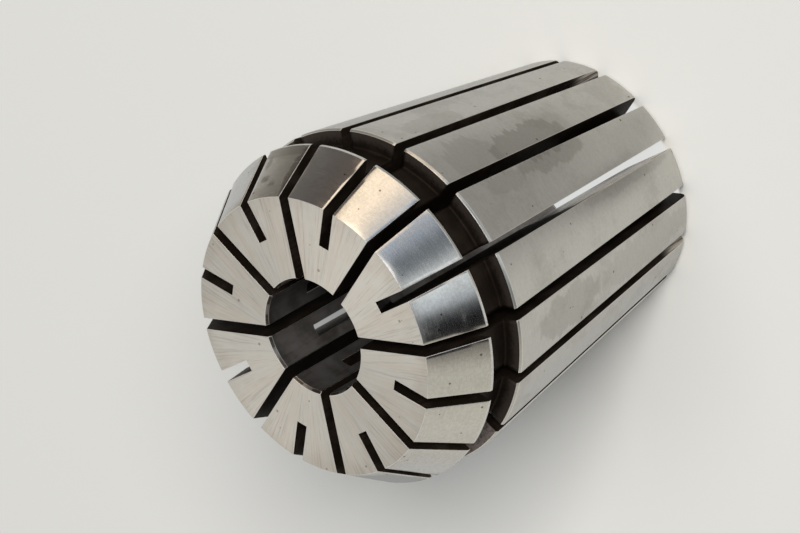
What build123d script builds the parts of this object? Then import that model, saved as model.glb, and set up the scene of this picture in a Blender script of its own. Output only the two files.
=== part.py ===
from build123d import *
import os
from math import cos, hypot, radians, sin, sqrt, tan

# Spring collet for a collet chuck: one piece of hardened spring steel that is turned, ground and
# sawn. It stands on its small rear end with its axis along +Z and its nose face upward, and the
# origin is the centre of the rear face. Eight slots are sawn through from the nose and eight from
# the rear, turn about, and each stops short of the far end in a web that ties two segments together.

# Driving dimensions, in millimetres and degrees
overall_length = 40.0
head_diameter = 33.0  # over the narrow land behind the nose cone, and over the body's large end
bore_diameter = 11.0
body_half_angle = 8.0  # the long taper that seats in the chuck
nose_half_angle = 30.0  # the short cone that the chuck's nut presses on
nose_cone_length = 5.2
land_width = 0.3
groove_width = 3.8  # the nut's extracting ring runs in this groove
groove_depth = 1.75
groove_corner_radius = 0.2
body_edge_length = 0.25  # the broken edge where the long taper meets the groove
body_edge_depth = 0.12
rear_edge_radius = 1.0
bore_chamfer_length = 0.3
bore_chamfer_depth = 0.2
slots_per_end = 8
slot_width = 1.1
saw_diameter = 63.0
web_length = 5.5  # along the bore's wall, from an end face to where a slot's floor rises out of it
nose_web_height = 4.2  # on the nose face, from the bore's wall to a slot's floor
rear_web_height = 3.4  # the same on the rear face

# Sizes and places that follow from them
head_radius = head_diameter / 2
bore_radius = bore_diameter / 2
groove_radius = head_radius - groove_depth
saw_radius = saw_diameter / 2
body_slope = tan(radians(body_half_angle))
nose_face_radius = head_radius - nose_cone_length * tan(radians(nose_half_angle))
land_front = overall_length - nose_cone_length
land_back = land_front - land_width
body_front = land_back - groove_width
body_edge_start = body_front - body_edge_length
rear_face_radius = head_radius - body_edge_start * body_slope
slot_pitch = 360.0 / (2 * slots_per_end)
slot_reach = head_radius + 1.0  # every slot runs out past the largest diameter
saw_overrun = 1.0  # and past the end that the saw comes in from


def turned_blank():
    """The collet before it is sawn: one profile turned about the axis."""
    outline = [
        (bore_radius, bore_chamfer_length),
        (bore_radius + bore_chamfer_depth, 0),
        (rear_face_radius, 0),
        (head_radius, body_edge_start),
        (head_radius - body_edge_depth, body_front),
        (groove_radius, body_front),
        (groove_radius, land_back),
        (head_radius, land_back),
        (head_radius, land_front),
        (nose_face_radius, overall_length),
        (bore_radius + bore_chamfer_depth, overall_length),
        (bore_radius, overall_length - bore_chamfer_length),
    ]
    profile = make_face(Plane.XZ * Polyline(*outline, close=True))
    rear_corner = nearest_corner(profile, rear_face_radius, 0)
    profile = fillet(rear_corner, rear_edge_radius)
    for height in (body_front, land_back):
        profile = fillet(nearest_corner(profile, groove_radius, height), groove_corner_radius)
    return revolve(profile, Axis.Z)


def nearest_corner(profile, radius, height):
    """The corner of the turned profile at this radius and height."""
    return profile.vertices().sort_by_distance((radius, 0, height))[0]


def saw_floor(web_height):
    """The centre of the saw where it lifts out of the web at z = 0, as a radius and a height."""
    rise = web_height
    run = web_length
    chord = hypot(rise, run)
    from_chord = sqrt(saw_radius**2 - (chord / 2) ** 2)
    centre_radius = bore_radius + rise / 2 + from_chord * run / chord
    centre_height = run / 2 + from_chord * rise / chord
    return centre_radius, centre_height


def slot_cutter(web_height):
    """The space that one slot takes, open at the top end and along its outer side.

    Its floor runs parallel to the axis at the saw's full depth, then rises along the saw's own
    arc through the web at z = 0.
    """
    centre_radius, centre_height = saw_floor(web_height)
    full_depth = centre_radius - saw_radius
    top = overall_length + saw_overrun
    lift_angle = 35.0
    arc_middle = (
        centre_radius - saw_radius * cos(radians(lift_angle / 2)),
        centre_height - saw_radius * sin(radians(lift_angle / 2)),
    )
    below = -saw_overrun
    end_radius = centre_radius - sqrt(saw_radius**2 - (centre_height - below) ** 2)
    floor_arc = ThreePointArc((full_depth, centre_height), arc_middle, (end_radius, below))
    sides = Polyline(
        (end_radius, below),
        (slot_reach, below),
        (slot_reach, top),
        (full_depth, top),
        (full_depth, centre_height),
    )
    side_view = make_face(Plane.XZ * Curve([floor_arc, sides]))
    return extrude(side_view, slot_width / 2, both=True)


def sawn_slots():
    """All the slots: those from the nose, and between them those from the rear, turned over."""
    from_nose = slot_cutter(rear_web_height)
    turned_over = slot_cutter(nose_web_height).rotate(Axis.X, 180)
    from_rear = Pos(0, 0, overall_length) * turned_over
    cutters = []
    for step in range(slots_per_end):
        cutters.append(from_nose.rotate(Axis.Z, 2 * step * slot_pitch))
        cutters.append(from_rear.rotate(Axis.Z, (2 * step + 1) * slot_pitch))
    return cutters


collet = turned_blank() - sawn_slots()
collet.label = "collet"

os.makedirs("parts", exist_ok=True)
export_step(collet, "parts/collet.step")
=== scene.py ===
"""A slotted spring collet, standing on its small end, dressed in its ground and sawn steel.

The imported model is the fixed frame. One finely divided surface with broken edges stands for the
collet's node, in the same place and at the same size, and each of its zones has its own finish.
"""

import logging
from dataclasses import dataclass, field
from enum import Enum
from math import asin, cos, pi, radians, sin, sqrt, tan
from typing import Any, Callable, ClassVar, Iterable, Sequence, Union

import bmesh
import bpy
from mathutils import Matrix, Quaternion, Vector


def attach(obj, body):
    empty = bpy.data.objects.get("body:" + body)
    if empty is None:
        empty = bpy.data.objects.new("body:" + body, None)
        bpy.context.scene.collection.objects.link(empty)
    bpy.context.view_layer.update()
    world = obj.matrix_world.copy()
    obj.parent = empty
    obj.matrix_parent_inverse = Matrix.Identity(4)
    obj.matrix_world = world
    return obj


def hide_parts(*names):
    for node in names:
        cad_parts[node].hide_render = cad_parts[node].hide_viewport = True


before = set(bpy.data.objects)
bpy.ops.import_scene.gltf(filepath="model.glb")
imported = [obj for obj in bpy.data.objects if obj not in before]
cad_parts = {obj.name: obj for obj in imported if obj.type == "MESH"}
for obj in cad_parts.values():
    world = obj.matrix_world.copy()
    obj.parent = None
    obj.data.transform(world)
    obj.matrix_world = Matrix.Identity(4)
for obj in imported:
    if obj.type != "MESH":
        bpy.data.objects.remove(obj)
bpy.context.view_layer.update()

log = logging.getLogger("collet")

MM = 0.001
SLOTS_PER_END = 8
Point = tuple[float, float, float]
Colour = tuple[float, float, float]
Span = tuple[float, float]  # where a mask starts and where it is full


# ---------------------------------------------------------------------------------------------
# Shader expressions
# ---------------------------------------------------------------------------------------------


class Field:
    """One socket that gives a number, and that can be written into an expression."""

    def __init__(self, graph: "Graph", socket: bpy.types.NodeSocket) -> None:
        """Keeps the socket and the graph that it belongs to."""
        self.graph = graph
        self.socket = socket

    def __add__(self, other: "Number") -> "Field":
        """self + other."""
        return self.graph.math("ADD", self, other)

    def __radd__(self, other: "Number") -> "Field":
        """other + self."""
        return self.graph.math("ADD", other, self)

    def __sub__(self, other: "Number") -> "Field":
        """self - other."""
        return self.graph.math("SUBTRACT", self, other)

    def __rsub__(self, other: "Number") -> "Field":
        """other - self."""
        return self.graph.math("SUBTRACT", other, self)

    def __mul__(self, other: "Number") -> "Field":
        """self * other."""
        return self.graph.math("MULTIPLY", self, other)

    def __rmul__(self, other: "Number") -> "Field":
        """other * self."""
        return self.graph.math("MULTIPLY", other, self)

    def __truediv__(self, other: "Number") -> "Field":
        """self / other."""
        return self.graph.math("DIVIDE", self, other)

    def __rtruediv__(self, other: "Number") -> "Field":
        """other / self."""
        return self.graph.math("DIVIDE", other, self)


Number = Union[Field, float]


@dataclass(frozen=True)
class Place:
    """Where a point lies, in millimetres: its position, and its cylinder coordinates."""

    where: bpy.types.NodeSocket
    radius: Field
    east: Field  # the direction from the axis, as a unit vector
    north: Field
    height: Field


class Graph:
    """The node tree of one finish, written as expressions."""

    SPOT_EDGE: ClassVar[float] = 0.03  # how softly a spot ends, as a share of the spots' spacing

    def __init__(self, tree: bpy.types.NodeTree) -> None:
        """Starts from an empty tree.

        Args:
            tree: the node tree to fill.
        """
        tree.nodes.clear()
        self.tree = tree

    def node(
        self,
        kind: str,
        settings: dict[str, Any] | None = None,
        sockets: dict[str | int, Any] | None = None,
    ) -> bpy.types.Node:
        """Adds any node.

        Args:
            kind: the node's type.
            settings: its properties, which are set first; "stops" are a ramp's (place, colour) pairs.
            sockets: a value, a field or another node's socket for each input, by name or number.

        Returns:
            The new node.
        """
        made = self.tree.nodes.new(kind)
        for name, value in (settings or {}).items():
            if name == "stops":
                self._set_stops(made.color_ramp.elements, value)
            else:
                setattr(made, name, value)
        for key, value in (sockets or {}).items():
            target = made.inputs[key]
            if isinstance(value, Field):
                self.tree.links.new(value.socket, target)
            elif isinstance(value, bpy.types.NodeSocket):
                self.tree.links.new(value, target)
            else:
                target.default_value = value
        return made

    @staticmethod
    def _set_stops(elements: Any, stops: Sequence[tuple[float, Colour]]) -> None:
        """Gives a colour ramp its stops.

        Args:
            elements: the ramp's elements.
            stops: the place, from 0 to 1, and the colour of each stop.
        """
        while len(elements) > 1:
            elements.remove(elements[-1])
        for order, (place, colour) in enumerate(stops):
            element = elements[0] if order == 0 else elements.new(place)
            element.position = place
            element.color = (*colour, 1.0)

    def math(self, operation: str, *terms: Number) -> Field:
        """A Math node on numbers and fields."""
        made = self.node("ShaderNodeMath", {"operation": operation}, dict(enumerate(terms)))
        return Field(self, made.outputs[0])

    def blend(self, factor: Number, low: Any, high: Any) -> bpy.types.NodeSocket:
        """A colour between low, at a factor of 0, and high, at 1.

        Args:
            factor: how much of high there is.
            low: a colour, or the socket of one.
            high: the same.

        Returns:
            The socket of the blend.
        """
        low = (*low, 1.0) if isinstance(low, tuple) else low
        high = (*high, 1.0) if isinstance(high, tuple) else high
        made = self.node("ShaderNodeMix", {"data_type": "RGBA"}, {0: factor, 6: low, 7: high})
        return made.outputs[2]

    def scaled(self, colour: Any, factor: Number) -> bpy.types.NodeSocket:
        """A colour made lighter or darker by a factor."""
        made = self.node("ShaderNodeVectorMath", {"operation": "SCALE"}, {0: colour, "Scale": factor})
        return made.outputs[0]

    def step(self, value: Number, low: float, high: float) -> Field:
        """0 below low and 1 above high, with a smooth rise between them (or a fall, if high < low).

        Args:
            value: what is compared.
            low: where the result is 0.
            high: where the result is 1.

        Returns:
            The result.
        """
        ends = {"Value": value, "From Min": low, "From Max": high}
        if high < low:
            ends = {"Value": value, "From Min": high, "From Max": low, "To Min": 1.0, "To Max": 0.0}
        made = self.node("ShaderNodeMapRange", {"interpolation_type": "SMOOTHSTEP"}, ends)
        return Field(self, made.outputs[0])

    def vector(self, x: Number, y: Number, z: Number) -> bpy.types.NodeSocket:
        """A vector from three numbers."""
        return self.node("ShaderNodeCombineXYZ", None, {0: x, 1: y, 2: z}).outputs[0]

    def split(self, vector: bpy.types.NodeSocket) -> tuple[Field, Field, Field]:
        """The three numbers of a vector."""
        outputs = self.node("ShaderNodeSeparateXYZ", None, {0: vector}).outputs
        return Field(self, outputs[0]), Field(self, outputs[1]), Field(self, outputs[2])

    def noise(self, place: Any, size: float, detail: float = 2.0, rough: float = 0.5) -> Field:
        """Soft noise from 0 to 1.

        Args:
            place: the vector that it is read at, in millimetres.
            size: the size of its features, in millimetres.
            detail: how many finer layers it has.
            rough: how strong those are.

        Returns:
            The noise.
        """
        sockets = {"Vector": place, "Scale": 1.0 / size, "Detail": detail, "Roughness": rough}
        return Field(self, self.node("ShaderNodeTexNoise", None, sockets).outputs[0])

    def specks(self, place: Any, spacing: float, radius: float, share: float) -> Field:
        """Scattered round spots: 1 inside a spot and 0 outside.

        Args:
            place: the vector that they are read at, in millimetres.
            spacing: the distance between the spots' cells.
            radius: the radius of the largest spots, as a share of the spacing.
            share: the share of the cells that hold a spot.

        Returns:
            The mask.
        """
        sockets = {"Vector": place, "Scale": 1.0 / spacing, "Randomness": 1.0}
        cells = self.node("ShaderNodeTexVoronoi", {"feature": "F1"}, sockets)
        distance = Field(self, cells.outputs["Distance"])
        parts = self.node("ShaderNodeSeparateColor", None, {0: cells.outputs["Color"]})
        held = self.step(Field(self, parts.outputs[0]), 1.0 - share, 1.0)
        return self.step(distance - radius * held, self.SPOT_EDGE, -self.SPOT_EDGE)

    def place(self) -> Place:
        """Where a point lies on the collet.

        Returns:
            The point, in millimetres.
        """
        where = self.node("ShaderNodeTexCoord").outputs["Object"]
        scaled = self.node("ShaderNodeVectorMath", {"operation": "SCALE"}, {0: where, "Scale": 1.0 / MM})
        x, y, z = self.split(scaled.outputs[0])
        radius = self.math("SQRT", x * x + y * y)
        return Place(scaled.outputs[0], radius, x / radius, y / radius, z)


# ---------------------------------------------------------------------------------------------
# Finishes
# ---------------------------------------------------------------------------------------------


@dataclass(frozen=True)
class Steel:
    """What every steel finish shares: its name, its clean colour, its gloss and its relief."""

    name: str
    colour: Colour
    roughness: float
    relief: float = 0.004  # the height of the surface's marks, in millimetres
    metallic: float = 1.0
    glancing: Colour = (0.80, 0.81, 0.84)  # how much it still reflects at a glancing angle

    def material(self) -> bpy.types.Material:
        """Makes the material, with the finish's own colour, roughness and relief.

        Returns:
            The material.
        """
        made = bpy.data.materials.new(self.name)
        made.use_nodes = True
        graph = Graph(made.node_tree)
        place = graph.place()
        colour, roughness, height = self.surface(graph, place)
        bump = graph.node(
            "ShaderNodeBump", None, {"Strength": 1.0, "Distance": self.relief * MM, "Height": height}
        )
        sockets = {
            "Base Color": colour,
            "Metallic": self.metal(graph, place),
            "Roughness": roughness,
            "Specular Tint": (*self.glancing, 1.0),
            "Normal": bump.outputs[0],
        }
        shader = graph.node("ShaderNodeBsdfPrincipled", None, sockets)
        graph.node("ShaderNodeOutputMaterial", None, {"Surface": shader.outputs[0]})
        return made

    def surface(self, graph: Graph, place: Place) -> tuple[Any, Number, Number]:
        """The finish itself.

        Args:
            graph: the material's graph.
            place: where the point lies.

        Returns:
            Its colour, its roughness and the height of its marks, from 0 to 1.
        """
        raise NotImplementedError

    def metal(self, graph: Graph, place: Place) -> Number:
        """How metallic it is at a point."""
        return self.metallic

    def tone(self, factor: float) -> Colour:
        """The clean colour, made lighter or darker by a factor."""
        red, green, blue = self.colour
        return (red * factor, green * factor, blue * factor)


@dataclass(frozen=True)
class GroundFace(Steel):
    """A flat end face, ground by a cup wheel whose marks fan out from the bore."""

    line_width: float = 0.075  # of the marks, in millimetres, half way out on the face
    line_length: float = 2.6
    lay_radius: float = 9.0  # where the marks have that width
    lay_centre: tuple[float, float] = (-0.5, 2.0)  # the point that they fan out from
    wander: float = 0.5  # how far the marks stray, in millimetres
    wander_size: float = 9.0
    cloud_size: float = 3.2
    grain_size: float = 0.14
    hollow: Colour = (0.465, 0.43, 0.38)  # the deepest marks
    hollow_span: Span = (0.30, 0.50)
    ridge_span: Span = (0.58, 0.74)
    ridge_share: float = 0.5
    warm: Colour = (0.60, 0.525, 0.445)
    warm_span: Span = (0.38, 0.66)
    warm_share: float = 0.6
    cloud_span: Span = (0.35, 0.72)
    cloud_share: float = 0.18
    stain: Colour = (0.30, 0.235, 0.17)
    stain_share: float = 0.10
    rim: float = 12.5  # the stain gathers outside this radius, in millimetres
    spot: Colour = (0.17, 0.125, 0.085)
    spot_spacing: float = 1.0
    spot_radius: float = 0.16
    spot_share: float = 0.30
    spot_cover: float = 0.6
    painted_sheen: Point = (0.93, 0.22, -0.06)  # a painted sheen: the face's brightness by position, its level, and its parts in Y^2 and Y

    def surface(self, graph: Graph, place: Place) -> tuple[Any, Number, Number]:
        """Fanned grinding marks, a brown bloom towards the rim, a few dark specks and a painted sheen
        that lightens the face towards +Y and -Y.

        Args:
            graph: the material's graph.
            place: where the point lies.

        Returns:
            Its colour, its roughness and the height of its marks, from 0 to 1.
        """
        across = place.east * place.radius - self.lay_centre[0]
        up = place.north * place.radius - self.lay_centre[1]
        reach = graph.math("SQRT", across * across + up * up)
        wander = (graph.noise(place.where, self.wander_size, 0.0) - 0.5) * self.wander
        length = reach * (self.line_width / self.line_length)
        round_it = self.lay_radius / reach
        fan = graph.vector(across * round_it + wander, up * round_it - wander, length)
        lines = graph.noise(fan, self.line_width * 2.0, 3.0, 0.7)
        broad = graph.noise(fan, self.line_width * 9.0, 2.0, 0.6)
        fine = graph.noise(place.where, self.grain_size, 2.0, 0.7)
        cloud = graph.noise(place.where, self.cloud_size, 4.0, 0.6)
        bloom = graph.step(place.radius + cloud * 5.0, self.rim + 1.0, self.rim + 4.5)
        warmth = graph.step(broad + (cloud - 0.5) * 0.7, *self.warm_span)
        colour = graph.blend(warmth * self.warm_share, self.colour, self.warm)
        colour = graph.blend(graph.step(lines, *self.hollow_span), self.hollow, colour)
        ridges = graph.step(lines, *self.ridge_span)
        colour = graph.blend(ridges * self.ridge_share, colour, self.tone(1.14))
        clouds = graph.step(cloud, *self.cloud_span)
        colour = graph.blend(clouds * self.cloud_share, colour, self.tone(0.80))
        colour = graph.blend(bloom * self.stain_share, colour, self.stain)
        spots = graph.specks(place.where, self.spot_spacing, self.spot_radius, self.spot_share)
        colour = graph.blend(spots * self.spot_cover, colour, self.spot)
        # painted sheen: the colour is made lighter towards +Y and -Y, a little more towards -Y
        level, square, lean = self.painted_sheen
        sheen = place.north * place.north * square + place.north * lean + level
        colour = graph.scaled(colour, sheen)
        roughness = self.roughness + (fine - 0.5) * 0.10 + bloom * 0.08
        return colour, roughness, lines * 0.8 + fine * 0.3 - spots * 0.6


@dataclass(frozen=True)
class Smear:
    """A ragged patch with fingers drawn out round the axis: dried oil, and the shape of other patches,
    one of them painted light.
    """

    angle: float  # degrees round from +X
    height: float  # millimetres
    spread: float  # its half width round the axis, in millimetres
    reach: float  # its half length along the axis, in millimetres
    strength: float = 1.0

    RAGGED: ClassVar[float] = 1.5  # how far the fingers reach, as a share of the spread
    THIN_FROM: ClassVar[float] = 0.3  # the share of the reach at which the patch starts to narrow
    THIN_SHARE: ClassVar[float] = 0.35  # and how far it narrows toward its ends
    SOFT_SIDE: ClassVar[float] = 0.35  # millimetres over which its sides fade
    SOFT_END: ClassVar[float] = 0.5  # and its ends
    END_WANDER: ClassVar[float] = 0.8  # millimetres that its ends stray

    def mask(self, graph: Graph, place: Place, fingers: Field) -> Field:
        """1 on the patch and 0 off it.

        Args:
            graph: the material's graph.
            place: where the point lies.
            fingers: streaks that run round the axis, from 0 to 1.

        Returns:
            The mask.
        """
        turn = radians(self.angle)
        turned = place.east * cos(turn) + place.north * sin(turn)
        round_it = graph.math("SQRT", graph.math("MAXIMUM", 2.0 - turned * 2.0, 0.0)) * place.radius
        along = graph.math("ABSOLUTE", place.height - self.height)
        thin = graph.step(along, self.reach * self.THIN_FROM, self.reach) * self.THIN_SHARE
        ragged = round_it + (fingers - 0.5 + thin) * self.spread * self.RAGGED
        near = graph.step(ragged, self.spread, self.spread - self.SOFT_SIDE)
        end = along + (fingers - 0.5) * self.END_WANDER
        ends = graph.step(end, self.reach, self.reach - self.SOFT_END)
        return near * ends * self.strength


@dataclass(frozen=True)
class GroundCone(Steel):
    """A cone that is ground on centres, so that its marks run round the axis."""

    line_width: float = 0.05
    line_turn: float = 1.4  # how fast the rings change on their way round
    finger_turn: float = 1.6
    finger_size: float = 0.9
    grain_size: float = 0.28
    ring_span: Span = (0.25, 0.75)
    film: Colour = (0.22, 0.20, 0.17)
    film_size: float = 4.5  # of the oil film's patches, in millimetres
    film_span: Span = (0.45, 0.68)
    film_share: float = 0.25  # how far the film darkens the steel
    mottle: float = 0.10  # how strongly the bare steel is mottled
    mottle_span: Span = (0.35, 0.65)
    spot: Colour = (0.11, 0.08, 0.05)
    spot_spacing: float = 0.9
    spot_radius: float = 0.14
    speck_share: float = 0.26
    spot_cover: float = 0.8
    smear_share: float = 0.38  # how far a smear darkens the steel
    smears: tuple[Smear, ...] = ()

    def surface(self, graph: Graph, place: Place) -> tuple[Any, Number, Number]:
        """Fine rings, a mottled oil film that dulls the steel, smears and small brown specks.

        Args:
            graph: the material's graph.
            place: where the point lies.

        Returns:
            Its colour, its roughness and the height of its marks, from 0 to 1.
        """
        turn, slow = self.line_turn, self.finger_turn
        ring_way = graph.vector(place.east * turn, place.north * turn, place.height)
        finger_way = graph.vector(place.east * slow, place.north * slow, place.height)
        rings = graph.noise(ring_way, self.line_width * 2.0, 3.0, 0.6)
        fingers = graph.noise(finger_way, self.finger_size, 3.0, 0.75)
        grain = graph.noise(place.where, self.grain_size, 3.0, 0.75)
        patches = graph.noise(place.where, self.film_size, 5.0, 0.62)
        film = graph.step(patches + (fingers - 0.5) * 0.16, *self.film_span)
        colour = graph.blend(graph.step(rings, *self.ring_span), self.tone(0.95), self.tone(1.05))
        mottle = graph.step(grain, *self.mottle_span) * self.mottle
        colour = graph.blend(mottle, colour, self.tone(0.45))
        colour = graph.blend(film * self.film_share, colour, self.film)
        dull = film
        for smear in self.smears:
            mask = smear.mask(graph, place, fingers)
            colour = graph.blend(mask * self.smear_share, colour, self.film)
            dull = graph.math("MAXIMUM", dull, mask)
        spots = graph.specks(place.where, self.spot_spacing, self.spot_radius, self.speck_share)
        colour = graph.blend(spots * self.spot_cover, colour, self.spot)
        roughness = self.roughness + (rings - 0.5) * 0.08 + dull * 0.12 + (grain - 0.5) * 0.10
        return colour, roughness, rings * 0.6 + grain * 0.4 - spots * 0.5


@dataclass(frozen=True)
class Scale(Steel):
    """Steel left black by the hardening furnace, in the groove and on the sawn walls, where some slots
    also get painted light.
    """

    glancing: Colour = (0.22, 0.18, 0.15)
    line_size: float = 0.28  # of the turned or sawn lines, in millimetres
    grain_size: float = 0.35
    grain_span: Span = (0.4, 0.8)
    grain_share: float = 0.35
    bare: Colour = (0.085, 0.066, 0.052)
    bare_size: float = 2.6  # of the thin places, in millimetres
    bare_span: Span = (0.42, 0.72)
    bare_share: float = 0.8
    along_axis: bool = False  # whether its lines run along the axis instead of round it
    rim: Colour | None = None  # the colour that its walls take toward the rim
    rim_radius: float = 15.6
    rim_fade: float = 0.5
    patch: Smear | None = None  # a place where the scale has come away
    patch_colour: Colour = (0.26, 0.215, 0.195)
    patch_span: Span = (0.75, 0.40)
    painted_mouth_light: Colour | None = None  # the colour of the places that are rubbed bare
    mouth_light_span: Span = (0.36, 0.52)
    mouth_light_below: float = 4.5  # the colour of the painted light in the mouths of the slots that open at the rear
    mouth_light_fade: float = 2.0
    mouth_light_radii: Span = (8.0, 10.5)  # millimetres from the axis, where the painted light sets in
    mouth_light_slots: Span = (0.0, -0.3)  # the cosine that picks out the slots that open at the rear
    painted_lit_slot: Smear = Smear(-112.5, 6.5, 2.8, 10.0)  # painted light on one of those slots' walls, much farther in
    # the colour of that slot's painted light
    painted_slot_light: Colour = (0.97, 0.86, 0.71)
    slot_light_span: Span = (0.43, 0.50)

    def surface(self, graph: Graph, place: Place) -> tuple[Any, Number, Number]:
        """A dark scale with turned or sawn lines and thin brown places, and painted light in some slots
        where that is set.

        Args:
            graph: the material's graph.
            place: where the point lies.

        Returns:
            Its colour, its roughness and the height of its marks, from 0 to 1.
        """
        lines = self._lines(graph, place)
        grain = graph.noise(place.where, self.grain_size, 4.0, 0.65)
        thin = graph.noise(place.where, self.bare_size, 3.0, 0.6) + (lines - 0.5) * 0.5
        colour = graph.blend(graph.step(thin, *self.bare_span) * self.bare_share, self.colour, self.bare)
        coarse = graph.step(grain, *self.grain_span) * self.grain_share
        colour = graph.blend(coarse, colour, self.tone(1.8))
        if self.rim:
            edge = place.radius + (grain - 0.5) * 1.2
            near = graph.step(edge, self.rim_radius - self.rim_fade, self.rim_radius + self.rim_fade)
            colour = graph.blend(near, colour, self.rim)
        if self.patch:
            come_away = self.patch.mask(graph, place, lines) * graph.step(grain, *self.patch_span)
            colour = graph.blend(come_away, colour, self.patch_colour)
        roughness = self.roughness + (grain - 0.5) * 0.25
        if self.painted_mouth_light:
            mouth, painted_lit_slot = self._painted_light_masks(graph, place, lines)
            # painted light: the rear slots' mouths and one slot's walls are made lighter, and that slot
            # glossier
            colour = graph.blend(mouth * graph.step(lines, *self.mouth_light_span), colour, self.painted_mouth_light)
            colour = graph.blend(painted_lit_slot, colour, self.painted_slot_light)
            roughness = roughness - painted_lit_slot * 0.2
        return colour, roughness, lines * 0.6 + grain * 0.4

    def metal(self, graph: Graph, place: Place) -> Number:
        """Scale is dull; where light is painted in the slots it is less metallic still, and not metallic
        at all on the one painted lit slot.

        Args:
            graph: the material's graph.
            place: where the point lies.

        Returns:
            The share of metal, from 0 to 1.
        """
        if not self.painted_mouth_light:
            return self.metallic
        mouth, painted_lit_slot = self._painted_light_masks(graph, place, self._lines(graph, place))
        return self.metallic - graph.math("MAXIMUM", mouth * 0.5, painted_lit_slot * self.metallic)

    def _lines(self, graph: Graph, place: Place) -> Field:
        """The lines that the lathe or the saw left.

        Args:
            graph: the material's graph.
            place: where the point lies.

        Returns:
            The lines, from 0 to 1.
        """
        if self.along_axis:
            way = graph.vector(place.radius, place.height * 0.04, place.east * 3.0)
        else:
            way = graph.vector(place.east * 1.5, place.north * 1.5, place.height + place.radius)
        return graph.noise(way, self.line_size, 3.0, 0.6)

    def _painted_light_masks(self, graph: Graph, place: Place, lines: Field) -> tuple[Field, Field]:
        """Where light is painted on the walls: the rear slots' mouths, and the whole of one such slot.

        Args:
            graph: the material's graph.
            place: where the point lies.
            lines: the saw's lines, from 0 to 1.

        Returns:
            A mask for the painted light in the mouths and a mask for the painted lit slot.
        """
        turn = graph.math("ARCTAN2", place.north, place.east) * float(SLOTS_PER_END)
        rear_slot = graph.step(graph.math("COSINE", turn), *self.mouth_light_slots)
        height = place.height + (lines - 0.5) * 3.0
        low = graph.step(height, self.mouth_light_below, self.mouth_light_below - self.mouth_light_fade)
        mouth = graph.step(place.radius, *self.mouth_light_radii) * rear_slot * low
        streaks = graph.step(lines, *self.slot_light_span)
        return mouth, self.painted_lit_slot.mask(graph, place, lines) * streaks


@dataclass(frozen=True)
class Honed(Steel):
    """The bore's wall: ground, dark with oil, with streaks along the axis."""

    film: Colour = (0.07, 0.06, 0.05)
    film_size: float = 3.5
    film_span: Span = (0.35, 0.7)
    film_share: float = 0.75
    streak_turn: float = 5.5  # how fast the streaks change on the way round
    streak_stretch: float = 0.03  # and how slowly along the axis
    streak_size: float = 0.5
    streak_span: Span = (0.3, 0.7)
    grain_size: float = 0.3

    def surface(self, graph: Graph, place: Place) -> tuple[Any, Number, Number]:
        """Streaks along the bore under a brown film that thins out in patches.

        Args:
            graph: the material's graph.
            place: where the point lies.

        Returns:
            Its colour, its roughness and the height of its marks, from 0 to 1.
        """
        turn, stretch = self.streak_turn, self.streak_stretch
        way = graph.vector(place.east * turn, place.north * turn, place.height * stretch)
        streaks = graph.noise(way, self.streak_size, 3.0, 0.6)
        grain = graph.noise(place.where, self.grain_size, 3.0, 0.7)
        patches = graph.noise(place.where, self.film_size, 3.0, 0.6)
        film = graph.step(patches + (streaks - 0.5) * 0.5, *self.film_span)
        colour = graph.blend(graph.step(streaks, *self.streak_span), self.tone(0.8), self.tone(1.15))
        colour = graph.blend(film * self.film_share, colour, self.film)
        roughness = self.roughness + (grain - 0.5) * 0.12 + film * 0.1
        return colour, roughness, streaks * 0.6 + grain * 0.4


TAPER_SMEARS = (
    Smear(-85.8, 17.5, 2.2, 5.6),
    Smear(-83.0, 25.0, 2.7, 3.6, 0.5),
    Smear(-94.5, 16.5, 1.4, 5.2, 0.85),
    Smear(-96.0, 24.0, 1.2, 3.0, 0.5),
    Smear(-116.2, 9.0, 0.9, 7.5, 0.5),
    Smear(-61.0, 24.0, 1.6, 4.0, 0.45),
    Smear(-146.0, 8.5, 2.2, 8.0, 0.35),
    Smear(-146.0, 22.0, 2.2, 5.5, 0.6),
)

CONE_SMEARS = (
    Smear(-42.3, 37.4, 0.75, 2.6, 1.0),
    Smear(-34.0, 35.3, 2.8, 0.9, 0.6),
    Smear(-29.5, 38.0, 0.7, 0.6, 0.9),
    Smear(-34.5, 38.6, 0.6, 0.5, 0.8),
    Smear(-27.5, 36.2, 0.5, 0.9, 0.7),
)


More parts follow.
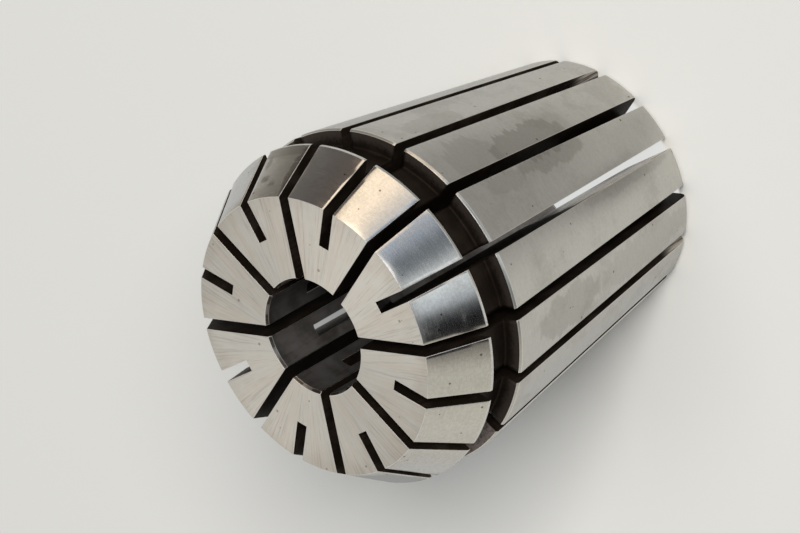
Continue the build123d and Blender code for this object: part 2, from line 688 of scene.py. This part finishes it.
class Zone(Enum):
    """The zones of the collet's surface, each with its finish."""

    NOSE_FACE = GroundFace("nose_face_steel", (0.60, 0.575, 0.52), 0.46, 0.003)
    NOSE_CONE = GroundCone(
        "nose_cone_steel",
        (0.665, 0.655, 0.625),
        0.13,
        0.0010,
        film=(0.13, 0.11, 0.08),
        film_share=0.06,
        mottle=0.20,
        speck_share=0.5,
        smears=CONE_SMEARS,
        smear_share=0.6,
    )
    LONG_TAPER = GroundCone(
        "long_taper_steel", (0.58, 0.565, 0.53), 0.33, 0.002, film_share=0.16, smears=TAPER_SMEARS
    )
    GROOVE = Scale(
        "groove_scale",
        (0.011, 0.008, 0.006),
        0.48,
        0.010,
        0.45,
        bare=(0.022, 0.016, 0.012),
        rim=(0.050, 0.040, 0.033),
        patch=Smear(168.0, 31.5, 3.4, 2.2),
    )
    SAWN = Scale(
        "sawn_scale",
        (0.024, 0.017, 0.012),
        0.42,
        0.006,
        0.7,
        bare=(0.07, 0.052, 0.040),
        along_axis=True,
        # painted light in the rear slots' mouths and on one slot's walls
        painted_mouth_light=(0.42, 0.38, 0.33),
    )
    SAW_FLOOR = Scale(
        "saw_floor_scale", (0.030, 0.021, 0.013), 0.50, 0.006, 0.6, bare=(0.06, 0.045, 0.03)
    )
    BORE = Honed("bore_steel", (0.30, 0.28, 0.27), 0.30, 0.003, 0.85)
    CHAMFER = Scale(
        "bore_chamfer_scale", (0.045, 0.038, 0.032), 0.40, 0.004, 0.8, bare=(0.12, 0.10, 0.085)
    )
    REAR_FACE = GroundFace("rear_face_steel", (0.56, 0.53, 0.47), 0.46, 0.003)
    EDGE = GroundCone(
        "broken_edge_steel", (0.74, 0.72, 0.68), 0.32, 0.001, film_share=0.05, speck_share=0.0
    )


# ---------------------------------------------------------------------------------------------
# The collet
# ---------------------------------------------------------------------------------------------


@dataclass(frozen=True)
class Station:
    """A corner of the turned outline, and the zone between it and the next one."""

    radius: float
    height: float
    zone: Zone


@dataclass
class Draft:
    """A mesh under construction, in millimetres, whose faces share corners that coincide."""

    corners: list[Point] = field(default_factory=list)
    faces: list[tuple[int, ...]] = field(default_factory=list)
    zones: list[Zone] = field(default_factory=list)
    _index: dict[Point, int] = field(default_factory=dict)

    def corner(self, point: Point) -> int:
        """The number of the corner at this point, which is added if it is new.

        Args:
            point: the corner's place, in millimetres.

        Returns:
            Its number.
        """
        key = (round(point[0], 5), round(point[1], 5), round(point[2], 5))
        if key not in self._index:
            self._index[key] = len(self.corners)
            self.corners.append(point)
        return self._index[key]

    def face(self, points: Iterable[Point], zone: Zone) -> None:
        """Adds a face, without the corners that fall together.

        Args:
            points: its corners in order.
            zone: the zone that it belongs to.
        """
        loop: list[int] = []
        for point in points:
            number = self.corner(point)
            if number not in loop:
                loop.append(number)
        if len(loop) > 2:
            self.faces.append(tuple(loop))
            self.zones.append(zone)

    def sheet(self, rows: Sequence[Sequence[Point]], zone: Zone) -> None:
        """Adds a grid of four-sided faces through rows of points.

        Args:
            rows: rows of points, each as long as the next.
            zone: the zone that the faces belong to.
        """
        for low, high in zip(rows, rows[1:]):
            for j in range(len(low) - 1):
                self.face((low[j], low[j + 1], high[j + 1], high[j]), zone)


@dataclass
class Collet:
    """The collet: one turned, ground and slotted piece of spring steel, in millimetres."""

    length: float = 40.0
    head_radius: float = 16.5
    bore_radius: float = 5.5
    body_half_angle: float = 8.0
    nose_half_angle: float = 30.0
    nose_cone_length: float = 5.2
    land_width: float = 0.3
    groove_width: float = 3.8
    groove_depth: float = 1.75
    groove_corner_radius: float = 0.2
    body_edge_length: float = 0.25
    body_edge_depth: float = 0.12
    rear_edge_radius: float = 1.0
    bore_chamfer_length: float = 0.3
    bore_chamfer_depth: float = 0.2
    slots_per_end: int = SLOTS_PER_END
    slot_width: float = 1.1
    saw_radius: float = 31.5
    web_length: float = 5.5
    nose_web_height: float = 4.2
    rear_web_height: float = 3.4
    edge_break: float = 0.048
    sharp_edge: float = 25.0  # degrees between two faces, from which their edge is broken
    face_break: float = 0.8  # how far the end faces' and the bore's edges are broken, of the rest's
    break_steps: int = 2
    flatness: int = 80  # how strongly the big faces keep the broken edges' shading off
    taper_rows: int = 8
    cone_rows: int = 4
    bore_rows: int = 4
    outer_columns: int = 14
    bore_columns: int = 5
    width_columns: int = 3
    arc_steps: int = 5
    floor_steps: int = 8

    # Outline ---------------------------------------------------------------------------------

    def stations(self) -> list[Station]:
        """The outline from the rear face's edge to the nose face's edge.

        Returns:
            The outline's corners in order.
        """
        slope = radians(self.body_half_angle)
        land_front = self.length - self.nose_cone_length
        land_back = land_front - self.land_width
        body_front = land_back - self.groove_width
        edge_start = body_front - self.body_edge_length
        floor = self.head_radius - self.groove_depth
        corner = self.groove_corner_radius
        nose = self.head_radius - self.nose_cone_length * tan(radians(self.nose_half_angle))
        taper = Zone.LONG_TAPER
        made = self._rear_edge(slope, edge_start)
        first = made[-1]
        for part in range(1, self.taper_rows):
            share = part / self.taper_rows
            radius = first.radius + (self.head_radius - first.radius) * share
            height = first.height + (edge_start - first.height) * share
            made.append(Station(radius, height, taper))
        made.append(Station(self.head_radius, edge_start, taper))
        made.append(Station(self.head_radius - self.body_edge_depth, body_front, Zone.GROOVE))
        made += self._quarter(floor + corner, body_front + corner, corner, 270.0, 180.0)
        made += self._quarter(floor + corner, land_back - corner, corner, 180.0, 90.0)
        made.append(Station(self.head_radius, land_back, Zone.NOSE_CONE))
        made.append(Station(self.head_radius, land_front, Zone.NOSE_CONE))
        for part in range(1, self.cone_rows):
            share = part / self.cone_rows
            radius = self.head_radius + (nose - self.head_radius) * share
            made.append(Station(radius, land_front + self.nose_cone_length * share, Zone.NOSE_CONE))
        made.append(Station(nose, self.length, Zone.NOSE_FACE))
        return made

    def _rear_edge(self, slope: float, edge_start: float) -> list[Station]:
        """The rounded outer edge of the rear face.

        Args:
            slope: the long taper's half-angle, in radians.
            edge_start: the height at which the long taper ends.

        Returns:
            Its stations, from the face outward.
        """
        face_radius = self.head_radius - edge_start * tan(slope)
        turn = pi / 2 - slope
        centre = face_radius - self.rear_edge_radius * tan(turn / 2)
        made = []
        for part in range(self.arc_steps + 2):
            angle = -pi / 2 + turn * part / (self.arc_steps + 1)
            radius = centre + self.rear_edge_radius * cos(angle)
            height = self.rear_edge_radius * (1 + sin(angle))
            made.append(Station(radius, height, Zone.LONG_TAPER))
        return made

    def _quarter(self, x: float, z: float, size: float, start: float, end: float) -> list[Station]:
        """A quarter round in a corner of the groove.

        Args:
            x: the radius at which its centre lies.
            z: the height at which its centre lies.
            size: its own radius.
            start: the angle that it starts at, in degrees.
            end: the angle that it ends at, in degrees.

        Returns:
            Its stations.
        """
        made = []
        for part in range(self.arc_steps):
            angle = radians(start + (end - start) * part / (self.arc_steps - 1))
            made.append(Station(x + size * cos(angle), z + size * sin(angle), Zone.GROOVE))
        return made

    # Slots -----------------------------------------------------------------------------------

    def slot_angle(self, slot: int) -> float:
        """The direction of a slot, in radians."""
        return slot * pi / self.slots_per_end

    def from_nose(self, slot: int) -> bool:
        """Whether a slot is sawn from the nose; the others are sawn from the rear."""
        return slot % 2 == 0

    def at_slot(self, slot: int, reach: float, across: float, height: float) -> Point:
        """A point by its distance along a slot, its offset across it and its height.

        Args:
            slot: the slot's number.
            reach: the distance from the axis along the slot.
            across: the offset from the slot's middle.
            height: the height above the rear face.

        Returns:
            The point.
        """
        angle = self.slot_angle(slot)
        x = reach * cos(angle) - across * sin(angle)
        y = reach * sin(angle) + across * cos(angle)
        return (x, y, height)

    def on_wall(self, slot: int, side: int, radius: float, height: float) -> Point:
        """A point of a slot's wall by its distance from the axis and its height."""
        half = self.slot_width / 2
        return self.at_slot(slot, sqrt(radius**2 - half**2), side * half, height)

    def arc(self, segment: int, radius: float, height: float, columns: int) -> list[Point]:
        """Points round the outside or the bore of the segment that follows slot number segment.

        Args:
            segment: the segment's number.
            radius: the distance from the axis.
            height: the height above the rear face.
            columns: how many faces the arc is divided into.

        Returns:
            Its points in order.
        """
        inset = asin(self.slot_width / 2 / radius)
        start = self.slot_angle(segment) + inset
        end = self.slot_angle(segment + 1) - inset
        angles = [start + (end - start) * j / columns for j in range(columns + 1)]
        return [(radius * cos(a), radius * sin(a), height) for a in angles]

    def across(self, slot: int, radius: float, height: Callable[[float], float]) -> list[Point]:
        """Points across a slot's width on a cylinder, at a height that depends on their reach.

        Args:
            slot: the slot's number.
            radius: the cylinder's radius.
            height: gives the height at a reach.

        Returns:
            The points from one wall to the other.
        """
        made = []
        for offset in self._offsets():
            reach = sqrt(radius**2 - offset**2)
            made.append(self.at_slot(slot, reach, offset, height(reach)))
        return made

    def _offsets(self) -> list[float]:
        """How far the points across a slot lie to either side of its middle."""
        half, count = self.slot_width / 2, self.width_columns
        return [half * (2 * j / count - 1) for j in range(count + 1)]

    def floor_height(self, slot: int, reach: float) -> float:
        """How high a slot's floor lies at a distance along the slot: the saw's own arc.

        Args:
            slot: the slot's number.
            reach: the distance from the axis along the slot.

        Returns:
            The height above the rear face.
        """
        rise = self.rear_web_height if self.from_nose(slot) else self.nose_web_height
        chord = sqrt(rise**2 + self.web_length**2)
        from_chord = sqrt(self.saw_radius**2 - (chord / 2) ** 2)
        centre_reach = self.bore_radius + rise / 2 + from_chord * self.web_length / chord
        centre_height = self.web_length / 2 + from_chord * rise / chord
        height = centre_height - sqrt(self.saw_radius**2 - (centre_reach - reach) ** 2)
        return height if self.from_nose(slot) else self.length - height

    def floor_rows(self, slot: int) -> list[list[Point]]:
        """Rows of points across a slot's floor, from the bore to the end face.

        Args:
            slot: the slot's number.

        Returns:
            The rows, each from one wall to the other.
        """
        rise = self.rear_web_height if self.from_nose(slot) else self.nose_web_height
        rows = [self.across(slot, self.bore_radius, lambda reach: self.floor_height(slot, reach))]
        for part in range(1, self.floor_steps + 1):
            reach = self.bore_radius + rise * part / self.floor_steps
            height = self.floor_height(slot, reach)
            if part == self.floor_steps:
                height = 0.0 if self.from_nose(slot) else self.length
            rows.append([self.at_slot(slot, reach, offset, height) for offset in self._offsets()])
        return rows

    def web_heights(self) -> tuple[float, float]:
        """Where the walls of the bore meet the rear webs and the nose webs."""
        reach = sqrt(self.bore_radius**2 - (self.slot_width / 2) ** 2)
        return self.floor_height(0, reach), self.floor_height(1, reach)

    # Mesh ------------------------------------------------------------------------------------

    def draft(self) -> Draft:
        """Draws every face of the collet.

        Returns:
            The mesh, not yet in Blender.
        """
        made = Draft()
        outline = self.stations()
        for segment in range(2 * self.slots_per_end):
            self._draw_outside(made, segment, outline)
            self._draw_bore(made, segment)
        for slot in range(2 * self.slots_per_end):
            self._draw_web(made, slot)
            for side in (-1, 1):
                self._draw_wall(made, slot, side, outline)
        for pair in range(self.slots_per_end):
            self._draw_end_face(made, 2 * pair, outline[-1], Zone.NOSE_FACE)
            self._draw_end_face(made, 2 * pair + 1, outline[0], Zone.REAR_FACE)
        return made

    def _draw_outside(self, made: Draft, segment: int, outline: list[Station]) -> None:
        """Draws the turned outside of one segment.

        Args:
            made: the mesh under construction.
            segment: the segment's number.
            outline: the turned outline.
        """
        rows = [self.arc(segment, s.radius, s.height, self.outer_columns) for s in outline]
        for low, high, station in zip(rows, rows[1:], outline):
            made.sheet([low, high], station.zone)

    def _bore_ends(self) -> tuple[float, float, float, float, float]:
        """The bore's mouth radius, and the heights of its chamfers' ends from rear to nose.

        Returns:
            The radius, then the four heights.
        """
        mouth = self.bore_radius + self.bore_chamfer_depth
        chamfer = self.bore_chamfer_length
        return mouth, 0.0, chamfer, self.length - chamfer, self.length

    def _draw_bore(self, made: Draft, segment: int) -> None:
        """Draws the bore's wall and both chamfers inside one segment.

        Args:
            made: the mesh under construction.
            segment: the segment's number.
        """
        mouth, rear, rear_in, nose_in, nose = self._bore_ends()
        low, high = self.web_heights()
        columns = self.bore_columns
        middle = [low + (high - low) * part / self.bore_rows for part in range(1, self.bore_rows)]
        heights = [rear_in, low, *middle, high, nose_in]
        rows = [self.arc(segment, self.bore_radius, z, columns) for z in heights]
        made.sheet(rows, Zone.BORE)
        made.sheet([self.arc(segment, mouth, rear, columns), rows[0]], Zone.CHAMFER)
        made.sheet([rows[-1], self.arc(segment, mouth, nose, columns)], Zone.CHAMFER)

    def _draw_web(self, made: Draft, slot: int) -> None:
        """Draws the floor of one slot and the piece of bore under its web.

        Args:
            made: the mesh under construction.
            slot: the slot's number.
        """
        mouth, rear, rear_in, nose_in, nose = self._bore_ends()
        rows = self.floor_rows(slot)
        made.sheet(rows, Zone.SAW_FLOOR)
        inner, outer = (rear_in, rear) if self.from_nose(slot) else (nose_in, nose)
        edge = self.across(slot, self.bore_radius, lambda reach: inner)
        made.sheet([rows[0], edge, self.across(slot, mouth, lambda reach: outer)], Zone.BORE)

    def _draw_wall(self, made: Draft, slot: int, side: int, outline: list[Station]) -> None:
        """Draws one flat wall of a slot.

        Args:
            made: the mesh under construction.
            slot: the slot's number.
            side: -1 for one wall and 1 for the other.
            outline: the turned outline.
        """
        mouth, rear, rear_in, nose_in, nose = self._bore_ends()
        low, high = self.web_heights()
        column = 0 if side < 0 else self.width_columns
        floor = [row[column] for row in self.floor_rows(slot)]
        loop = [self.on_wall(slot, side, s.radius, s.height) for s in outline]
        bore = [low + (high - low) * part / self.bore_rows for part in range(self.bore_rows + 1)]
        if self.from_nose(slot):
            loop.append(self.on_wall(slot, side, mouth, nose))
            loop.append(self.on_wall(slot, side, self.bore_radius, nose_in))
            loop += [self.on_wall(slot, side, self.bore_radius, z) for z in reversed(bore)]
            loop += floor
        else:
            loop += list(reversed(floor))
            loop += [self.on_wall(slot, side, self.bore_radius, z) for z in reversed(bore)]
            loop.append(self.on_wall(slot, side, self.bore_radius, rear_in))
            loop.append(self.on_wall(slot, side, mouth, rear))
        made.face(loop, Zone.SAWN)

    def _draw_end_face(self, made: Draft, first: int, edge: Station, zone: Zone) -> None:
        """Draws the part of an end face between two through slots, round the short slot in it.

        Args:
            made: the mesh under construction.
            first: the number of the through slot that it starts at.
            edge: the outer edge of the end face.
            zone: the face's zone.
        """
        mouth = self.bore_radius + self.bore_chamfer_depth
        short = first + 1
        notch = self.floor_rows(short)[-1]
        loop = self.arc(first, edge.radius, edge.height, self.outer_columns)
        loop += notch
        loop += self.arc(short, edge.radius, edge.height, self.outer_columns)
        loop += reversed(self.arc(short, mouth, edge.height, self.bore_columns))
        loop += reversed(self.across(short, mouth, lambda reach: edge.height))
        loop += reversed(self.arc(first, mouth, edge.height, self.bore_columns))
        made.face(loop, zone)

    # Piece -----------------------------------------------------------------------------------

    def build(self) -> bpy.types.Object:
        """Makes the collet's surface, with broken edges, and lays its finishes on it.

        Returns:
            The finished piece.
        """
        draft = self.draft()
        order = list(Zone)
        shell = bmesh.new()
        corners = [shell.verts.new(Vector(p) * MM) for p in draft.corners]
        for loop, zone in zip(draft.faces, draft.zones):
            face = shell.faces.new([corners[i] for i in loop])
            face.material_index = order.index(zone)
            face.smooth = True
        bmesh.ops.recalc_face_normals(shell, faces=shell.faces)
        self._mark_edges(shell, order)
        mesh = bpy.data.meshes.new("collet_surface")
        shell.to_mesh(mesh)
        shell.free()
        piece = bpy.data.objects.new("collet_surface", mesh)
        bpy.context.scene.collection.objects.link(piece)
        for zone in order:
            mesh.materials.append(zone.value.material())
        self._break_edges(piece, order.index(Zone.EDGE))
        return piece

    def _mark_edges(self, shell: bmesh.types.BMesh, order: list[Zone]) -> None:
        """Weighs each outer corner by how much its edge is broken.

        Args:
            shell: the mesh.
            order: the zones in the order of their materials.
        """
        weight = shell.edges.layers.float.new("bevel_weight_edge")
        faces = {order.index(Zone.NOSE_FACE), order.index(Zone.REAR_FACE), order.index(Zone.BORE)}
        dark = {order.index(Zone.GROOVE), order.index(Zone.SAWN), order.index(Zone.SAW_FLOOR)}
        sharp = radians(self.sharp_edge)
        for edge in shell.edges:
            if len(edge.link_faces) != 2 or not edge.is_convex:
                continue
            if edge.calc_face_angle(0.0) < sharp:
                continue
            zones = {face.material_index for face in edge.link_faces}
            if zones <= dark:
                continue
            flat = faces & zones
            edge[weight] = self.face_break if flat else 1.0

    def _break_edges(self, piece: bpy.types.Object, edge_slot: int) -> None:
        """Adds the small rounded breaks and keeps the big faces flat in the shading.

        Args:
            piece: the collet's object.
            edge_slot: the number of the broken edges' material.
        """
        bevel = piece.modifiers.new("edge_breaks", "BEVEL")
        bevel.limit_method = "WEIGHT"
        bevel.width = self.edge_break * MM
        bevel.segments = self.break_steps
        bevel.material = edge_slot
        bevel.use_clamp_overlap = True
        bevel.miter_outer = "MITER_SHARP"
        normals = piece.modifiers.new("flat_faces", "WEIGHTED_NORMAL")
        normals.weight = self.flatness
        normals.keep_sharp = True


# ---------------------------------------------------------------------------------------------
# Studio
# ---------------------------------------------------------------------------------------------


@dataclass(frozen=True)
class Lamp:
    """A square soft box that shines at the collet from a direction and a distance."""

    name: str
    azimuth: float  # degrees round from +X
    elevation: float  # degrees above the floor
    distance: float  # metres
    size: float  # metres
    power: float  # watts
    colour: Colour = (1.0, 1.0, 1.0)

    def hang(self, target: Vector) -> None:
        """Hangs the lamp, aimed at the target.

        Args:
            target: the point that it shines at, in metres.
        """
        data = bpy.data.lights.new(self.name, "AREA")
        data.shape = "SQUARE"
        data.size = self.size
        data.energy = self.power
        data.color = self.colour
        lamp = bpy.data.objects.new(self.name, data)
        bpy.context.scene.collection.objects.link(lamp)
        away = direction(self.azimuth, self.elevation)
        lamp.visible_glossy = False
        lamp.location = target + away * self.distance
        lamp.rotation_mode = "QUATERNION"
        lamp.rotation_quaternion = away.to_track_quat("Z", "Y")


@dataclass(frozen=True)
class Glow:
    """A soft round patch of light or shade in the room's dome."""

    azimuth: float  # degrees round from +X
    elevation: float  # degrees above the floor
    inner: float  # degrees from its centre to where it starts to fade
    outer: float  # degrees from its centre to where it ends
    colour: Colour

    def over(self, graph: Graph, sight: tuple[Field, Field, Field], under: Any) -> bpy.types.NodeSocket:
        """Lays the patch over the colours that are already there.

        Args:
            graph: the world's graph.
            sight: the direction that is looked in.
            under: the colours so far.

        Returns:
            The colours with the patch.
        """
        centre = direction(self.azimuth, self.elevation)
        x, y, z = sight
        nearness = x * centre.x + y * centre.y + z * centre.z
        mask = graph.step(nearness, cos(radians(self.outer)), cos(radians(self.inner)))
        return graph.blend(mask, under, self.colour)


@dataclass(frozen=True)
class Room:
    """The dim room that shiny steel sees past the floor's paper, and the plain light that it gives."""

    plain: Colour = (0.165, 0.173, 0.182)
    ceiling: Colour = (0.43, 0.44, 0.45)
    wall_top: float = 24.0  # degrees above the floor, where the walls start to fade into the ceiling
    ceiling_start: float = 42.0
    backdrop: Colour = (0.77, 0.76, 0.73)  # what the camera sees past the floor's edge
    walls: tuple[tuple[float, Colour], ...] = (
        (-180.0, (0.64, 0.62, 0.55)),
        (-175.0, (0.66, 0.64, 0.57)),
        (-168.0, (0.51, 0.475, 0.42)),
        (-157.0, (0.085, 0.08, 0.075)),
        (-148.0, (0.01, 0.01, 0.01)),
        (-141.0, (0.03, 0.03, 0.035)),
        (-136.0, (0.14, 0.148, 0.152)),
        (-131.0, (0.60, 0.65, 0.71)),
        (-127.0, (0.78, 0.85, 0.92)),
        (-112.0, (1.05, 1.08, 1.10)),
        (-107.0, (0.45, 0.49, 0.53)),
        (-103.0, (0.25, 0.28, 0.31)),
        (-95.0, (0.19, 0.215, 0.245)),
        (-84.0, (0.51, 0.57, 0.68)),
        (-75.0, (0.72, 0.78, 0.86)),
        (-67.0, (0.90, 0.84, 0.79)),
        (-55.0, (1.62, 1.35, 1.07)),
        (-44.0, (1.62, 1.36, 1.05)),
        (-41.0, (1.25, 1.06, 0.84)),
        (-38.0, (0.15, 0.12, 0.10)),
        (-26.0, (0.14, 0.12, 0.11)),
        (-12.0, (0.155, 0.145, 0.14)),
        (5.0, (0.22, 0.20, 0.175)),
        (22.0, (0.43, 0.40, 0.345)),
        (44.0, (0.68, 0.65, 0.60)),
        (90.0, (0.60, 0.60, 0.58)),
        (150.0, (0.72, 0.69, 0.62)),
        (180.0, (0.64, 0.62, 0.55)),
    )
    glows: tuple[Glow, ...] = (
        Glow(70.0, 44.0, 22.0, 46.0, (0.86, 0.86, 0.85)),
        Glow(-92.0, 46.0, 8.0, 16.0, (2.8, 2.8, 2.8)),
        Glow(-52.0, 40.0, 8.0, 18.0, (2.6, 2.2, 1.75)),
    )

    def build(self) -> None:
        """Makes the world."""
        world = bpy.data.worlds.new("room")
        bpy.context.scene.world = world
        world.use_nodes = True
        world.cycles.sampling_method = "NONE"
        graph = Graph(world.node_tree)
        sight = graph.split(graph.node("ShaderNodeTexCoord").outputs["Generated"])
        turn = graph.math("ARCTAN2", sight[1], sight[0]) / (2 * pi) + 0.5
        stops = [(azimuth / 360.0 + 0.5, colour) for azimuth, colour in self.walls]
        ramp = graph.node("ShaderNodeValToRGB", {"stops": stops}, {0: turn})
        rise = graph.step(sight[2], sin(radians(self.wall_top)), sin(radians(self.ceiling_start)))
        colour = graph.blend(rise, ramp.outputs[0], self.ceiling)
        for glow in self.glows:
            colour = glow.over(graph, sight, colour)
        path = graph.node("ShaderNodeLightPath").outputs
        colour = graph.blend(Field(graph, path["Is Glossy Ray"]), self.plain, colour)
        colour = graph.blend(Field(graph, path["Is Camera Ray"]), colour, self.backdrop)
        light = graph.node("ShaderNodeBackground", None, {"Color": colour, "Strength": 1.0})
        graph.node("ShaderNodeOutputWorld", None, {"Surface": light.outputs[0]})


@dataclass(frozen=True)
class Shade:
    """An oval patch of the floor that shiny steel sees dimmer or brighter, in millimetres."""

    x: float
    y: float
    inner: float  # from its centre to where it starts to fade, across its narrow way
    outer: float  # and to where it ends
    share: float  # how strongly it shows
    turn: float = 0.0  # the direction of its long way, in degrees round from +X
    squeeze: float = 1.0  # its width as a share of its length

    def mask(self, graph: Graph, place: Place) -> Field:
        """Its share inside the patch, fading to 0 outside.

        Args:
            graph: the material's graph.
            place: where the point lies.

        Returns:
            The share.
        """
        along_x, along_y = cos(radians(self.turn)), sin(radians(self.turn))
        across = place.east * place.radius - self.x
        up = place.north * place.radius - self.y
        length = (across * along_x + up * along_y) * self.squeeze
        width = up * along_x - across * along_y
        off = graph.math("SQRT", length * length + width * width)
        return graph.step(off, self.outer, self.inner) * self.share


@dataclass(frozen=True)
class Floor:
    """The pale paper that the collet stands on."""

    colour: Colour = (0.780, 0.772, 0.740)
    size: float = 4.0  # metres
    foot_lift: float = 0.92  # how far the paper glows under the collet's foot, seen through its slots
    foot_radius: float = 11.0  # millimetres
    foot_fade: float = 0.4
    paper_end: float = 90.0  # millimetres from the axis, where the room starts to show in steel
    room_start: float = 180.0
    lift_colour: Colour = (0.75, 0.757, 0.745)
    dim_colour: Colour = (0.02, 0.02, 0.02)
    shades: tuple[Shade, ...] = (
        Shade(8.0, -48.0, 22.0, 36.0, 0.48, 0.0, 0.7),
        Shade(-10.0, -18.5, 1.2, 4.8, 0.65, 50.0, 0.6),
        Shade(-2.5, -15.0, 1.0, 5.0, 0.25),
        Shade(-10.0, 68.0, 14.0, 42.0, 0.38),
    )
    glint: Shade = Shade(-11.8, 5.0, 2.0, 6.0, 0.55)  # a painted glint that only the steel sees, by the foot

    def build(self) -> None:
        """Lays the floor under the collet's rear face."""
        half = self.size / 2
        mesh = bpy.data.meshes.new("floor")
        ends = [(-half, -half, 0.0), (half, -half, 0.0), (half, half, 0.0), (-half, half, 0.0)]
        mesh.from_pydata(ends, [], [(0, 1, 2, 3)])
        floor = bpy.data.objects.new("floor", mesh)
        bpy.context.scene.collection.objects.link(floor)
        mesh.materials.append(self._paper())

    def _paper(self) -> bpy.types.Material:
        """The paper: matt, and lifted under the foot; steel sees one glint and a few dim patches.

        Returns:
            The paper's material.
        """
        made = bpy.data.materials.new("floor_paper")
        made.use_nodes = True
        graph = Graph(made.node_tree)
        place = graph.place()
        radius = place.radius
        path = graph.node("ShaderNodeLightPath").outputs
        camera, glossy = Field(graph, path["Is Camera Ray"]), Field(graph, path["Is Glossy Ray"])
        foot = graph.step(radius, self.foot_radius + self.foot_fade, self.foot_radius)
        lifted = foot * self.foot_lift * graph.math("MAXIMUM", camera, glossy)
        lifted = graph.math("MAXIMUM", lifted, self.glint.mask(graph, place) * glossy)
        clear_share: Number = 1.0
        for shade in self.shades:
            clear_share = (1.0 - shade.mask(graph, place)) * clear_share
        matt = graph.node("ShaderNodeBsdfDiffuse", None, {"Color": (*self.colour, 1.0)})
        glow = {"Color": (*self.lift_colour, 1.0), "Strength": 1.0}
        lit = graph.node("ShaderNodeEmission", None, glow)
        dark = graph.node("ShaderNodeBsdfDiffuse", None, {"Color": (*self.dim_colour, 1.0)})
        clear = graph.node("ShaderNodeBsdfTransparent")
        paper = self._over(graph, lifted, matt, lit)
        paper = self._over(graph, (1.0 - clear_share) * glossy, paper, dark)
        past = graph.step(radius, self.paper_end, self.room_start) * glossy
        paper = self._over(graph, past, paper, clear)
        graph.node("ShaderNodeOutputMaterial", None, {"Surface": paper.outputs[0]})
        return made

    def _over(
        self, graph: Graph, share: Number, under: bpy.types.Node, over: bpy.types.Node
    ) -> bpy.types.Node:
        """Lays one shader over another, by its share.

        Args:
            graph: the material's graph.
            share: how much of the upper one shows.
            under: the lower shader.
            over: the upper shader.

        Returns:
            The mixed shader.
        """
        sockets = {0: share, 1: under.outputs[0], 2: over.outputs[0]}
        return graph.node("ShaderNodeMixShader", None, sockets)


@dataclass(frozen=True)
class Studio:
    """The floor, the room and the lamps."""

    floor: Floor = Floor()
    room: Room = Room()
    lamps: tuple[Lamp, ...] = (
        Lamp("key_lamp", -97.5, 40.5, 2.5, 0.95, 65.0, (1.0, 0.985, 0.955)),
        Lamp("top_lamp", -63.0, 68.0, 2.5, 1.10, 10.5, (0.97, 0.985, 1.0)),
    )

    def build(self, target: Vector) -> None:
        """Sets up the floor, the room and the lamps, which are aimed at the target.

        Args:
            target: the point that the lamps are aimed at, in metres.
        """
        self.floor.build()
        self.room.build()
        for lamp in self.lamps:
            lamp.hang(target)
            log.info("lamp %s", lamp.name)


@dataclass(frozen=True)
class Viewpoint:
    """The camera, placed by the direction that it looks from."""

    target: Point = (1.53, -0.523, 26.54)  # millimetres
    azimuth: float = -108.868  # degrees round from +X
    elevation: float = 42.238  # degrees above the floor
    distance: float = 432.568  # millimetres
    roll: float = 119.714  # degrees that the camera is turned about its own line of sight
    lens: float = 212.218  # millimetres
    sensor: float = 36.0  # millimetres wide
    nearest: float = 0.01  # metres

    def build(self) -> None:
        """Sets up the camera."""
        data = bpy.data.cameras.new("camera")
        data.sensor_width = self.sensor
        data.lens = self.lens
        data.clip_start = self.nearest
        camera = bpy.data.objects.new("camera", data)
        bpy.context.scene.collection.objects.link(camera)
        away = direction(self.azimuth, self.elevation)
        camera.location = (Vector(self.target) + away * self.distance) * MM
        level = away.to_track_quat("Z", "Y")
        camera.rotation_mode = "QUATERNION"
        camera.rotation_quaternion = level @ Quaternion((0.0, 0.0, 1.0), -radians(self.roll))
        bpy.context.scene.camera = camera


def direction(azimuth: float, elevation: float) -> Vector:
    """The unit vector towards an azimuth and an elevation, in degrees."""
    turn, rise = radians(azimuth), radians(elevation)
    return Vector((cos(turn) * cos(rise), sin(turn) * cos(rise), sin(rise)))


def main() -> None:
    """Builds the collet, the studio and the camera."""
    logging.basicConfig(level=logging.INFO, format="%(name)s: %(message)s")
    collet = Collet()
    piece = collet.build()
    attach(piece, "root")
    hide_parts("collet")
    log.info("piece %s, %d faces before its edges are broken", piece.name, len(piece.data.polygons))
    Studio().build(Vector((0.0, 0.0, collet.length / 2 * MM)))
    Viewpoint().build()
    bpy.context.scene.view_settings.view_transform = "Standard"


if __name__ == "__main__":
    main()
